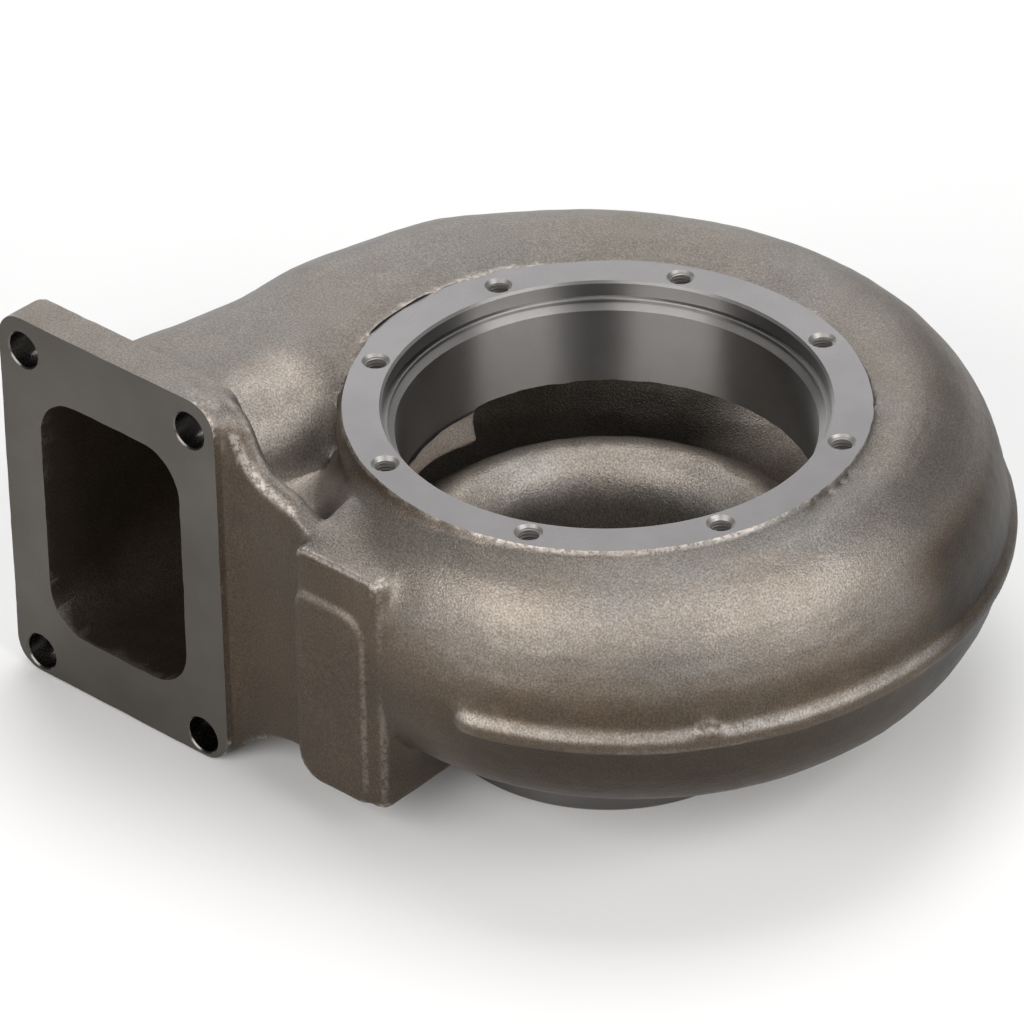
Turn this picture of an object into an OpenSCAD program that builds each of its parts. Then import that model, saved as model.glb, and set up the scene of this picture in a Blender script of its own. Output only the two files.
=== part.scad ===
// Turbocharger turbine housing: one iron casting with a spiral scroll round a
// machined bore, a square inlet flange and a round outlet.
// The origin is the centre of the machined bearing face. +Z is the shaft axis,
// pointing out of that face, and the inlet flange faces -Y.

/* [Bearing side] */
// Pitch circle of the clamp bolts
bolt_circle = 160; // [156:1:163]
// Number of clamp bolts
bolt_count = 8; // [6:1:12]
// Tapping drill of the clamp bolt holes
bolt_drill = 6.8; // [5:0.1:8.4]
// Countersink at the mouth of each clamp bolt hole
bolt_sink = 9.4; // [8.6:0.1:10]
// Depth of the clamp bolt holes
bolt_depth = 22; // [15:1:28]
// Outside of the cast bearing flange
flange_od = 173; // [170:1:178]
// Facing cut that cleans the bearing face
facing_d = 177.5; // [174:0.5:184]
// Register that centres the bearing housing
register_d = 147; // [144:0.5:150]
// Depth of the register
register_depth = 5.5; // [3:0.5:9]
// Inner edge of the narrow land under the register
land_d = 143; // [141:0.5:143.5]
// Height of that land
land_h = 1.5; // [0.5:0.5:3]
// Bore for the heat shield and wheel
bore_d = 139; // [132:0.5:140]
// Depth of the machined bore below the bearing face
bore_depth = 38; // [32:1:42]

/* [Scroll] */
// Depth of the mould parting plane below the bearing face
parting_depth = 54; // [50:1:58]
// Outer radius of the scroll where it leaves the inlet duct
scroll_r_inlet = 158; // [152:1:162]
// Outer radius a quarter turn on, at the back
scroll_r_back = 144.5; // [140:0.5:150]
// Outer radius a half turn on, at the side away from the inlet
scroll_r_side = 122.5; // [118:0.5:128]
// Outer radius three quarters of a turn on, at the front
scroll_r_front = 110.5; // [107:0.5:115]
// Outer radius a full turn on, where the scroll has shrunk into the casting
scroll_r_tail = 88; // [86:0.5:92]
// Radius of the scroll's inner side, inside the casting
scroll_r_inner = 60; // [57:1:64]
// Height of the scroll above the parting plane at the inlet
scroll_rise_inlet = 56; // [54:0.5:58]
// Height of the scroll above the parting plane at the front
scroll_rise_front = 49; // [46:0.5:51]
// Height of the scroll above the parting plane at its tail
scroll_rise_tail = 30; // [24:1:36]
// Depth of the scroll below the parting plane at the inlet
scroll_drop_inlet = 50; // [46:1:54]
// Depth of the scroll below the parting plane at the front
scroll_drop_front = 34; // [31:1:38]
// Depth of the scroll below the parting plane at its tail
scroll_drop_tail = 28; // [24:1:32]
// Thickness of the scroll wall
wall = 7; // [5:0.5:8]
// How far the parting bead stands out of the scroll
bead_out = 3; // [1.5:0.5:5]
// Height of the upright face of the parting bead
bead_face = 4; // [2:0.5:8]

/* [Inlet] */
// Distance from the shaft axis to the middle of the inlet
inlet_offset = 122.7; // [118:0.1:126]
// Distance from the shaft axis to the inlet face
inlet_reach = 108; // [104:0.5:116]
// Width between the inlet bolt holes
inlet_bolts_w = 75; // [72:0.5:78]
// Height between the inlet bolt holes
inlet_bolts_h = 121; // [118:0.5:124]
// Diameter of the inlet bolt holes
inlet_hole_d = 13; // [10:0.5:14]
// Width of the inlet flange
inlet_flange_w = 97; // [95:0.5:102]
// Height of the inlet flange
inlet_flange_h = 141; // [138:0.5:146]
// Corner radius of the inlet flange
inlet_flange_r = 10; // [6:0.5:13]
// Thickness of the inlet flange
inlet_flange_t = 15; // [12:0.5:18]
// Width of the inlet opening
inlet_w = 63; // [54:0.5:64]
// Height of the inlet opening
inlet_h = 93.5; // [84:0.5:96]
// Corner radius of the inlet opening
inlet_r = 16; // [8:0.5:22]
// How far the flange plate sits above the middle of its bolts
inlet_rise = 2; // [0:0.5:4]

/* [Outlet] */
// Depth of the outlet face below the bearing face
outlet_depth = 123; // [118:1:128]
// Outside of the machined outlet ring
outlet_od = 118; // [114:1:124]
// Width of the outlet ring's machined band
outlet_band = 12; // [6:1:16]
// Bore where the gas leaves the wheel
wheel_exit_d = 92; // [84:1:96]
// Bore at the outlet face
outlet_d = 102; // [98:1:106]
// Diameter of the shroud lip round the wheel
shroud_d = 125; // [120:1:130]
// Depth of the shroud lip below the bearing face
shroud_depth = 54.5; // [52:0.5:57]
// How far round past the inlet the tongue's edge stands, in degrees
tongue_back = 10; // [6:1:16]
// How far the cast foot of the tongue bulges into the bore
bulge = 2.6; // [1.5:0.1:3.5]

/* [Corner block] */
// Left edge of the block, from the shaft axis
block_left = 38; // [34:1:42]
// Width of the block
block_w = 36.5; // [30:1:40]
// Distance from the shaft axis to the front of the block
block_reach = 110; // [107:0.5:114]
// Depth of the block's top below the bearing face
block_top = 18.5; // [15:0.5:24]
// How far the block's top climbs towards the bearing flange
block_ramp = 7; // [3:0.5:10]
// Depth of the block's foot below the bearing face
block_foot = 106; // [98:1:112]
// How far the pad stands out of the block
pad_out = 1.5; // [0.5:0.5:3]
// Radius of the block's lower corner beside the duct
block_r = 9; // [2:0.5:12]
// Radius of the block's other corners, seen from the front
block_edge_r = 2.5; // [1:0.5:5]
// Width of the block's face beside the pad
pad_inset = 6; // [3:0.5:10]
// Depth of the pad's top below the bearing face
pad_top = 33; // [28:1:40]
// Radius of the pad's upper corner
pad_r = 8; // [3:1:12]
// Distance from the shaft axis to the front of the wall between duct and block
web_reach = 104; // [100:0.5:106]
// Thickness of that wall's upper lip
web_t = 10; // [6:0.5:14]
// Depth of the lip below the bearing face, where it meets the block
lip_depth = 12; // [10:0.5:16]
// How far the lip climbs from the block to the inlet flange
lip_rise = 26; // [16:1:28]
// Length of the lip's climb
lip_run = 34; // [28:1:38]
// Depth of the hollow behind the lip, below the bearing face
web_floor = 20; // [19:1:30]
// Depth of the wall's foot below the bearing face
web_foot = 103; // [90:1:105]

/* [Hidden] */
cast_colour = [0.45, 0.42, 0.38];

// Heights, measured up from the bearing face
parting_z = -parting_depth;
bore_z = -bore_depth;
outlet_z = -outlet_depth;
shroud_z = -shroud_depth;

// Angles run round the shaft from +X; the gas turns clockwise, seen from above
inlet_angle = 180;
split_angle = 0;
tail_angle = -150;
bead_start = 172.5;
bead_end = -75;
// Turn over which the bead grows to its full height
bead_fade = 60;
// Turn over which the section goes from boxy to oval
oval_turn = 50;

// Stations along the gas path, and points round each corner of a section
duct_steps = 9;
turn_step = 7.5;
corner_steps = 6;
lip_steps = 10;
tongue_steps = 5;
$fn = 96;

// Metal left round the holes and the gas path
duct_wall = 9;
bore_wall = 5;
boss_wall = 4;
throat_reach = 11;
web_lap = 4;
duct_exit_y = -14;
cut = 1;

channel_r_inner = bore_d / 2 + bore_wall;
recess_out = 2;
recess_r = bore_d / 2 + recess_out;
tongue_angle = inlet_angle - tongue_back;
boss_depth = bolt_depth + bolt_drill / 2;

function mix(a, b, t) = a + (b - a) * t;
function smooth(t) = t * t * (3 - 2 * t);
function limit(t) = max(0, min(1, t));

// Cubic curve through b and c at t = 0 and 1, led by the neighbours a and d
function through(a, b, c, d, t) =
    0.5 * (2 * b + (c - a) * t + (2 * a - 5 * b + 4 * c - d) * t * t
        + (3 * b - a - 3 * c + d) * t * t * t);

// A value that is given at each quarter turn, read at any angle between
function at_quarter(list, i) = list[max(0, min(len(list) - 1, i))];
function around(list, angle) =
    let (q = (inlet_angle - angle) / 90, i = max(0, min(len(list) - 2, floor(q))))
    through(at_quarter(list, i - 1), at_quarter(list, i), at_quarter(list, i + 1),
        at_quarter(list, i + 2), q - i);

// Three equal falls from the inlet round to the front, then the tail
function quarters(inlet, front, tail) =
    [inlet, mix(inlet, front, 1 / 3), mix(inlet, front, 2 / 3), front, tail];

radius_list = [scroll_r_inlet, scroll_r_back, scroll_r_side, scroll_r_front, scroll_r_tail];
rise_list = quarters(scroll_rise_inlet, scroll_rise_front, scroll_rise_tail);
drop_list = quarters(scroll_drop_inlet, scroll_drop_front, scroll_drop_tail);

// Share of each half section that its corner arcs take up: boxy at the duct, oval further on
box_share = 0.82;
oval_share = 0.97;
function roundness(angle) = mix(box_share, oval_share, smooth(limit((inlet_angle - angle) / oval_turn)));

// A section holds its inner, outer, top and bottom limits and its three corner radii:
// across, above the parting plane and below it
function scroll_section(angle, skin) =
    let (
        inner = skin > 0 ? channel_r_inner : scroll_r_inner,
        outer = around(radius_list, angle) - skin,
        up = around(rise_list, angle) - skin,
        down = around(drop_list, angle) - skin,
        share = roundness(angle)
    )
    [inner, outer, up, down, (outer - inner) / 2 * share, up * share, down * share];

function inlet_section(skin) =
    let (
        grow = skin > 0 ? 0 : duct_wall,
        half_w = inlet_w / 2 + grow,
        half_h = inlet_h / 2 + grow,
        r = inlet_r + grow
    )
    [inlet_offset - half_w, inlet_offset + half_w, half_h, half_h, r, r, r];

// Outline of a section as distance from the shaft and height, one arc for each corner
function outline(s) =
    let (w = (s[1] - s[0]) / 2, middle = (s[0] + s[1]) / 2)
    [for (c = [0:3])
        let (
            side = (c == 0 || c == 3) ? 1 : -1,
            level = c < 2 ? 1 : -1,
            reach = c < 2 ? s[2] : s[3],
            r_high = c < 2 ? s[5] : s[6]
        )
        for (j = [0:corner_steps - 1])
            let (a = 90 * (c + (j + 0.5) / corner_steps))
            [
                middle + side * (w - s[4]) + s[4] * cos(a),
                parting_z + level * (reach - r_high) + r_high * sin(a)
            ]];

// An outline set up across the straight duct, or at an angle round the shaft
function duct_station(y, s) = [for (p = outline(s)) [-p[0], y, p[1]]];
function round_station(angle, points) = [for (p = points) [p[0] * cos(angle), p[0] * sin(angle), p[1]]];

// Rounded rectangle about the origin, its corner radii counted from the upper right
function rounded_box(w, h, radii, steps = 8) =
    [for (c = [0:3], j = [0:steps])
        let (
            a = 90 * (c + j / steps),
            side = (c == 0 || c == 3) ? 1 : -1,
            level = c < 2 ? 1 : -1,
            r = radii[c]
        )
        [side * (w / 2 - r) + r * cos(a), level * (h / 2 - r) + r * sin(a)]];
function same(r) = [r, r, r, r];

// Closed surface through a row of outlines that have the same number of points
module skin_through(stations) {
    n = len(stations[0]);
    last = len(stations) - 1;
    polyhedron(
        points = [for (s = stations) for (p = s) p],
        faces = concat(
            [[for (i = [0:n - 1]) i]],
            [for (k = [0:last - 1]) for (i = [0:n - 1])
                let (j = (i + 1) % n)
                each [
                    [k * n + i, (k + 1) * n + i, k * n + j],
                    [k * n + j, (k + 1) * n + i, (k + 1) * n + j]
                ]],
            [[for (i = [n - 1:-1:0]) last * n + i]]
        )
    );
}

function duct_stations(skin, start_y) =
    let (a = inlet_section(skin), b = scroll_section(inlet_angle, skin))
    [for (i = [0:duct_steps])
        let (t = i / duct_steps, k = smooth(t))
        duct_station(mix(start_y, duct_exit_y, t), [for (m = [0:6]) mix(a[m], b[m], k)])];

function scroll_stations(skin, from, to) =
    [for (a = [from:-turn_step:to]) round_station(a, outline(scroll_section(a, skin)))];

// Outside of the casting: duct and first half of the scroll, then the shrinking rest
module scroll_outside() {
    skin_through(concat(
        duct_stations(0, -inlet_reach + inlet_flange_t / 2),
        scroll_stations(0, inlet_angle, split_angle)
    ));
    skin_through(scroll_stations(0, split_angle, tail_angle));
}

// Gas path from the inlet face to the tail
module gas_path() {
    skin_through(concat(
        duct_stations(wall, -inlet_reach - cut),
        scroll_stations(wall, inlet_angle, tail_angle)
    ));
}

// Bead where the two mould halves met, level with the parting plane
module parting_bead() {
    skin_through([for (a = [bead_start:-turn_step:bead_end])
        let (
            root = around(radius_list, a) - bead_out,
            crest = root + bead_out * (1 + smooth(limit((bead_start - a) / bead_fade)))
        )
        round_station(a, [
            [root, parting_z + bead_face / 2 + bead_out * 2],
            [root, parting_z - bead_face / 2 - bead_out],
            [crest, parting_z - bead_face / 2],
            [crest, parting_z + bead_face / 2]
        ])]);
}

// Solid middle of the casting: bearing flange at the top, neck and outlet ring below
module core() {
    flange_r = flange_od / 2;
    edge_h = 4;
    swell = 2.5;
    swell_h = 9;
    ring_r = outlet_od / 2;
    band_z = outlet_z + outlet_band;
    chamfer = 1;
    groove_h = 3;
    neck_r = ring_r + 8;
    neck_foot_h = 9;
    neck_h = 22;
    neck_swell = 6;
    neck_taper = 2;
    rotate_extrude() polygon([
        [0, cut],
        [flange_r, cut],
        [flange_r, -edge_h],
        [flange_r + swell, -swell_h],
        [flange_r - boss_wall, -boss_depth - boss_wall],
        [channel_r_inner, bore_z],
        [neck_r, parting_z],
        [neck_r + neck_swell, band_z + neck_h],
        [neck_r - neck_taper, band_z + neck_foot_h],
        [ring_r - chamfer, band_z + groove_h],
        [ring_r - chamfer, band_z],
        [ring_r, band_z - chamfer],
        [ring_r, outlet_z + chamfer],
        [ring_r - chamfer, outlet_z],
        [0, outlet_z]
    ]);
}

// Metal that backs the bolt holes where the gas path passes under the bearing flange
module bolt_backing() {
    inside = bore_d / 2 - boss_wall;
    outside = bolt_circle / 2 + bolt_drill / 2 + boss_wall;
    rotate_extrude() polygon([
        [inside, cut], [outside, cut], [outside, -boss_depth],
        [channel_r_inner, bore_z], [inside, bore_z]
    ]);
}

module inlet_flange() {
    translate([-inlet_offset, -inlet_reach + inlet_flange_t, parting_z + inlet_rise])
    rotate([90, 0, 0])
    linear_extrude(inlet_flange_t)
    polygon(rounded_box(inlet_flange_w, inlet_flange_h, same(inlet_flange_r)));
}

// Wall that ties the inlet duct to the front of the scroll, with its swept upper lip
module web() {
    start_x = -inlet_offset + inlet_w / 2;
    end_x = -block_left + cut;
    lip_z = -lip_depth;
    translate([0, -web_reach + web_t, 0])
    rotate([90, 0, 0])
    linear_extrude(web_t)
    polygon(concat(
        [for (i = [0:lip_steps])
            let (a = 90 * i / lip_steps)
            [-block_left - lip_run * cos(a), lip_z + lip_rise * (1 - sin(a))]],
        [[end_x, lip_z], [end_x, -web_foot], [start_x, -web_foot], [start_x, lip_z + lip_rise]]
    ));
    translate([0, 0, -web_foot])
    linear_extrude(web_foot - web_floor)
    polygon([
        [start_x - web_lap, -web_reach + cut],
        [end_x, -web_reach + cut],
        [-block_left + block_w / 2, -flange_od / 2],
        [-bore_d / 2, -bore_d / 4],
        [start_x - web_lap, -bore_d / 2]
    ]);
}

// Square block at the front corner, with a raised pad on its face
module block() {
    height = block_foot - block_top;
    translate([-block_left + block_w / 2, -bore_d / 2, -block_top - height / 2])
    rotate([90, 0, 0])
    linear_extrude(block_reach - bore_d / 2)
    polygon(rounded_box(block_w, height, [block_edge_r, block_edge_r, block_r, block_edge_r]));
    translate([-block_left + block_edge_r, 0, 0])
    rotate([90, 0, 90])
    linear_extrude(block_w - 2 * block_edge_r)
    polygon([
        [-block_reach + block_edge_r, -block_top],
        [-flange_od / 2, -block_top + block_ramp],
        [-bore_d / 2, -block_top + block_ramp],
        [-bore_d / 2, -block_top - block_ramp],
        [-block_reach + block_edge_r, -block_top - block_ramp]
    ]);
    pad_h = block_foot - pad_top;
    pad_w = block_w - pad_inset;
    translate([-block_left + pad_w / 2, -block_reach + cut, -pad_top - pad_h / 2])
    rotate([90, 0, 0])
    linear_extrude(pad_out + cut)
    polygon(rounded_box(pad_w, pad_h, [pad_r, block_edge_r, block_r, block_edge_r]));
}

module casting() {
    difference() {
        union() {
            scroll_outside();
            parting_bead();
            core();
            inlet_flange();
            web();
            block();
        }
        gas_path();
    }
    bolt_backing();
}

// Register, bore, wheel chamber, shroud and outlet, cut about the shaft axis
module shaft_cuts() {
    register_r = register_d / 2;
    bore_r = bore_d / 2;
    edge = 0.8;
    land_z = -register_depth - land_h;
    shroud_r = shroud_d / 2;
    exit_r = wheel_exit_d / 2;
    shroud_drop = 24;
    shroud_steps = 8;
    nose_w = 3.5;
    nose_h = 2.5;
    recess_h = 6;
    outlet_step = 25;
    outlet_h = 6;
    rotate_extrude() polygon(concat(
        [
            [0, 2 * cut],
            [register_r + edge, 2 * cut],
            [register_r + edge, 0],
            [register_r, -edge],
            [register_r, -register_depth],
            [land_d / 2, -register_depth],
            [land_d / 2, land_z],
            [bore_r, land_z - (land_d - bore_d) / 2],
            [bore_r, bore_z],
            [recess_r, bore_z - recess_out],
            [recess_r, shroud_z - recess_h],
            [shroud_r + nose_w, shroud_z - nose_h]
        ],
        [for (i = [0:shroud_steps])
            let (a = 90 * i / shroud_steps)
            [shroud_r - (shroud_r - exit_r) * sin(a), shroud_z - shroud_drop * (1 - cos(a))]],
        [
            [exit_r, outlet_z + outlet_step],
            [outlet_d / 2, outlet_z + outlet_h],
            [outlet_d / 2, outlet_z - cut],
            [0, outlet_z - cut]
        ]
    ));
}

// Slot that feeds the wheel from the tongue round to the tail, with a fall behind the shroud lip
module throat() {
    slot_r = channel_r_inner + throat_reach;
    fall_r = channel_r_inner + 3;
    fall_h = 15;
    shelf_h = 3;
    start = tail_angle - cut;
    rotate([0, 0, start])
    rotate_extrude(angle = tongue_angle - start)
    polygon([
        [bore_d / 2 - cut, bore_z],
        [slot_r, bore_z],
        [slot_r, shroud_z],
        [fall_r, shroud_z - shelf_h],
        [fall_r, shroud_z - fall_h],
        [recess_r - cut, shroud_z - shelf_h],
        [recess_r - cut, shroud_z]
    ]);
}

// Cast foot of the tongue: it bulges into the bore, and its underside climbs towards the tail
module tongue_foot() {
    back_r = recess_r + cut;
    bulge_r = bore_d / 2 - bulge;
    tip_rise = 2.5;
    tail_rise = 9;
    lap = 0.4;
    shoulder = 0.45;
    belly = 0.85;
    start = tongue_angle + cut / 2;
    sweep = tail_angle + 360 + cut / 2 - start;
    skin_through([for (i = [tongue_steps:-1:0])
        let (low = shroud_z + mix(tip_rise, tail_rise, i / tongue_steps))
        round_station(start + sweep * i / tongue_steps, [
            [back_r, bore_z + cut],
            [back_r, low - cut],
            [bulge_r + cut, low],
            [bulge_r, mix(bore_z, low, belly)],
            [bulge_r + cut, mix(bore_z, low, shoulder)],
            [bore_d / 2 + lap, bore_z + lap]
        ])]);
}

// Facing cut that leaves the bearing face flat inside a low cast wall
module facing() {
    cylinder(d = facing_d, h = 20);
}

module bolt_holes() {
    for (i = [0:bolt_count - 1])
        rotate([0, 0, 360 * (i + 0.5) / bolt_count])
        translate([bolt_circle / 2, 0, 0]) {
            translate([0, 0, -bolt_depth]) cylinder(d = bolt_drill, h = bolt_depth + cut);
            sink = (bolt_sink - bolt_drill) / 2;
            translate([0, 0, -sink]) cylinder(d1 = bolt_drill, d2 = bolt_sink + 2 * cut, h = sink + cut);
        }
}

module inlet_holes() {
    for (x = [-1, 1], z = [-1, 1])
        translate([
            -inlet_offset + x * inlet_bolts_w / 2,
            -inlet_reach - cut,
            parting_z + z * inlet_bolts_h / 2
        ])
        rotate([-90, 0, 0])
        cylinder(d = inlet_hole_d, h = inlet_flange_t + 2 * cut);
}

module turbine_housing() {
    color(cast_colour)
    difference() {
        casting();
        shaft_cuts();
        throat();
        facing();
        bolt_holes();
        inlet_holes();
    }
    color(cast_colour) tongue_foot();
}

turbine_housing();
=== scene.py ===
from math import cos, pi, radians, sin, sqrt

import bpy
import numpy as np
from mathutils import Matrix, Vector


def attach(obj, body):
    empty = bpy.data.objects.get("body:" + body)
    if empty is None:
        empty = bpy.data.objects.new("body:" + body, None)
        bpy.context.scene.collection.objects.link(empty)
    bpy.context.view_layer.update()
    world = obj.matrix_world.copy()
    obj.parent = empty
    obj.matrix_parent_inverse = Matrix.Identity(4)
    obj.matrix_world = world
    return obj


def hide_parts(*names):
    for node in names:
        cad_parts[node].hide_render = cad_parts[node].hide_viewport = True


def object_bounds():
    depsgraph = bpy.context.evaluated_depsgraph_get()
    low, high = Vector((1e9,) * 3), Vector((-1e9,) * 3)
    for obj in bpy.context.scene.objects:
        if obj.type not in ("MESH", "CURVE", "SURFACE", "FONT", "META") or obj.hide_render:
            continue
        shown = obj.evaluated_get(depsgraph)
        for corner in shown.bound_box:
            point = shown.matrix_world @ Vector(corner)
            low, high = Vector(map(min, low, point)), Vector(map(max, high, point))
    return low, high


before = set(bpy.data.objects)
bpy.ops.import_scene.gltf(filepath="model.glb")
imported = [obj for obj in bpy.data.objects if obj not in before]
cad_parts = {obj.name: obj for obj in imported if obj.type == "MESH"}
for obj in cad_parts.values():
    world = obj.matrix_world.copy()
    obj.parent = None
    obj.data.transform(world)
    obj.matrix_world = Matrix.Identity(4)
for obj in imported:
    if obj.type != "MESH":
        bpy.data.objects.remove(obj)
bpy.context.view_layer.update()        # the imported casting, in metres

mm = 0.001


# Small tools: every surface is a grid of points in millimetres

def mix(a, b, t):
    return a + (b - a) * t


def smooth(t):                      # 0 to 1 with flat ends
    t = np.clip(t, 0, 1)
    return t * t * (3 - 2 * t)


def quarterCurve(values, turned):   # cubic through values that are given at every quarter turn
    values = np.asarray(values, float)
    q = np.asarray(turned, float) / 90
    i = np.clip(np.floor(q).astype(int), 0, len(values) - 2)
    t = q - i
    a, b, c, d = (values[np.clip(i + k, 0, len(values) - 1)] for k in (-1, 0, 1, 2))
    return 0.5 * (2 * b + (c - a) * t + (2 * a - 5 * b + 4 * c - d) * t ** 2
                  + (3 * b - a - 3 * c + d) * t ** 3)


def outwards(points, faces):        # turns a closed shell's faces to point out of it
    volume = sum(
        np.einsum("ij,ij->i", points[f[:, 0]], np.cross(points[f[:, k]], points[f[:, k + 1]])).sum()
        for f in faces for k in range(1, f.shape[1] - 1))
    return faces if volume > 0 else [f[:, ::-1] for f in faces]


def gridQuads(rows, cols):          # quads between the rows of a grid, closed round each row
    i = np.arange(rows - 1)[:, None]
    j = np.arange(cols)[None, :]
    k = (j + 1) % cols
    faces = np.stack([i * cols + j, (i + 1) * cols + j, (i + 1) * cols + k, i * cols + k], -1)
    return faces.reshape(-1, 4)


def loft(stations):                 # (rows, cols, 3) points, each row closed, a lid on both ends
    rows, cols = stations.shape[:2]
    points = stations.reshape(-1, 3)
    middles = np.stack([stations[0].mean(0), stations[-1].mean(0)])
    j = np.arange(cols)
    first = np.stack([j, (j + 1) % cols, np.full(cols, rows * cols)], -1)
    last = np.stack([(rows - 1) * cols + (j + 1) % cols, (rows - 1) * cols + j,
                     np.full(cols, rows * cols + 1)], -1)
    points = np.vstack([points, middles])
    return points, outwards(points, [gridQuads(rows, cols), np.vstack([first, last])])


def turned(profile, start=0, sweep=360, step=2.5):
    # a closed (radius, height) profile carried round the shaft
    profile = np.asarray(profile, float)
    full = sweep == 360
    n = int(round(sweep / step)) + (0 if full else 1)
    a = np.radians(start + np.arange(n) * (sweep / n if full else sweep / (n - 1)))
    ring = np.stack([
        profile[None, :, 0] * np.cos(a)[:, None],
        profile[None, :, 0] * np.sin(a)[:, None],
        np.broadcast_to(profile[None, :, 1], (n, len(profile)))], -1)
    if not full:
        return loft(ring)
    cols = len(profile)
    points = ring.reshape(-1, 3)
    j, last = np.arange(cols), (n - 1) * cols
    after = (j + 1) % cols
    seam = np.stack([last + j, j, after, last + after], -1)
    return points, outwards(points, [np.concatenate([gridQuads(n, cols), seam])])


def spun(profile, segments=192):    # a (radius, height) profile from axis to axis, made a solid
    profile = np.asarray(profile, float)
    a = np.arange(segments) * 2 * pi / segments
    inner = profile[1:-1]
    ring = np.stack([
        inner[:, None, 0] * np.cos(a)[None, :],
        inner[:, None, 0] * np.sin(a)[None, :],
        np.broadcast_to(inner[:, None, 1], (len(inner), segments))], -1)
    n = len(inner) * segments
    j, low = np.arange(segments), n - segments
    after = (j + 1) % segments
    top = np.stack([j, after, np.full(segments, n)], -1)
    foot = np.stack([low + after, low + j, np.full(segments, n + 1)], -1)
    points = np.vstack([ring.reshape(-1, 3), [[0, 0, profile[0, 1]], [0, 0, profile[-1, 1]]]])
    return points, outwards(points, [gridQuads(len(inner), segments), np.vstack([top, foot])])


def placed(shell, matrix):          # a shell moved by a 4 by 4 matrix
    points, faces = shell
    m = np.array(matrix)
    return points @ m[:3, :3].T + m[:3, 3], faces


kinds = {       # the kinds of surface, and where each stands in the mesh's list of materials
    "castSkin": 0, "facedIron": 1, "boredIron": 2, "milledIron": 3, "drilledIron": 4,
    "outletIron": 5, "boltIron": 6,
}
slots = [bpy.data.materials.new(name) for name in kinds]


def makeObject(name, shells, kind="castSkin"):   # closed shells in one mesh, of one kind of surface
    points, faces, count = [], [], 0
    for shellPoints, shellFaces in shells:
        points.append(shellPoints)
        faces += [face for group in shellFaces for face in (group + count).tolist()]
        count += len(shellPoints)
    mesh = bpy.data.meshes.new(name)
    mesh.from_pydata((np.vstack(points) * mm).tolist(), [], faces)
    for material in slots:
        mesh.materials.append(material)
    mesh.polygons.foreach_set("material_index", np.full(len(mesh.polygons), kinds[kind], np.int32))
    mesh.update()
    made = bpy.data.objects.new(name, mesh)
    bpy.context.scene.collection.objects.link(made)
    return made


def bake(obj):                      # applies what modifiers the object has
    bpy.context.view_layer.update()
    graph = bpy.context.evaluated_depsgraph_get()
    mesh = bpy.data.meshes.new_from_object(obj.evaluated_get(graph))
    obj.modifiers.clear()
    old, obj.data = obj.data, mesh
    bpy.data.meshes.remove(old)


def carve(body, tool):              # takes the tool's shape out of the body
    step = body.modifiers.new("carve", "BOOLEAN")
    step.operation, step.solver, step.object = "DIFFERENCE", "MANIFOLD", tool
    print("  ", tool.name, end=" ")
    bake(body)
    bpy.data.objects.remove(tool)
    print("->", len(body.data.polygons), "faces")


def readPoints(mesh):
    co = np.empty(len(mesh.vertices) * 3)
    mesh.vertices.foreach_get("co", co)
    return co.reshape(-1, 3) / mm


def writePoints(mesh, points):
    mesh.vertices.foreach_set("co", (points * mm).ravel())
    mesh.update()


# Scroll: sections that shrink round the shaft

scroll = {
    "radii": [158, 144.5, 122.5, 110.5, 88],      # outer radius at each quarter turn
    "rise": [56, 53.67, 51.33, 49, 30],           # height above the parting plane
    "drop": [50, 44.67, 39.33, 34, 28],
    "skinInner": 60, "coreInner": 74.5,
    "wall": 7, "partingZ": -54, "start": 180, "end": 0, "tailStart": 3, "tail": -150,
    "roundTurns": [0, 10, 24, 34, 60],            # how oval the section is after these turns
    "roundShares": [0.8, 0.88, 0.86, 0.95, 0.97],
    "cornerPoints": 12, "step": 3,
}
inlet = {
    "offset": 122.7, "reach": 108, "width": 63, "height": 93.5, "radius": 16,
    "ductWall": 9, "cornerGrow": 1.2, "ductEnd": -14, "ductStations": 26, "lap": 6,
    "flangeW": 97, "flangeH": 141, "flangeR": 10, "flangeT": 15, "rise": 2,
    "boltsW": 75, "boltsH": 121, "holeR": 6.5, "holeDepth": 24, "holeEdge": 0.5, "allowance": 1.6,
}


def scrollSection(angle, skin):     # inner, outer, up, down, and corner radii across, up and down
    s = scroll
    turn = s["start"] - angle
    inner = np.full_like(angle, s["coreInner"] if skin else s["skinInner"], dtype=float)
    outer = quarterCurve(s["radii"], turn) - skin
    up = quarterCurve(s["rise"], turn) - skin
    down = quarterCurve(s["drop"], turn) - skin
    share = np.interp(turn, s["roundTurns"], s["roundShares"])
    across = (outer - inner) / 2 * share
    return np.stack([inner, outer, up, down, across, up * share, down * share], -1)


def inletSection(skin):
    grow = 0 if skin else inlet["ductWall"]
    w, h = inlet["width"] / 2 + grow, inlet["height"] / 2 + grow
    r = inlet["radius"] + grow * inlet["cornerGrow"]
    return np.array([inlet["offset"] - w, inlet["offset"] + w, h, h, r, r, r])


def outline(s):                     # sections (n, 7) to outlines (n, points, 2), an arc per corner
    k = scroll["cornerPoints"]
    w, middle, rWide = (s[:, 1] - s[:, 0]) / 2, (s[:, 0] + s[:, 1]) / 2, s[:, 4]
    parts = []
    for corner in range(4):
        side = 1 if corner in (0, 3) else -1
        level, reach, rHigh = (1, s[:, 2], s[:, 5]) if corner < 2 else (-1, s[:, 3], s[:, 6])
        a = np.radians(90 * (corner + (np.arange(k) + 0.5) / k))[None, :]
        x = (middle + side * (w - rWide))[:, None] + rWide[:, None] * np.cos(a)
        z = (scroll["partingZ"] + level * (reach - rHigh))[:, None] + rHigh[:, None] * np.sin(a)
        parts.append(np.stack([x, z], -1))
    return np.concatenate(parts, 1)


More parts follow.
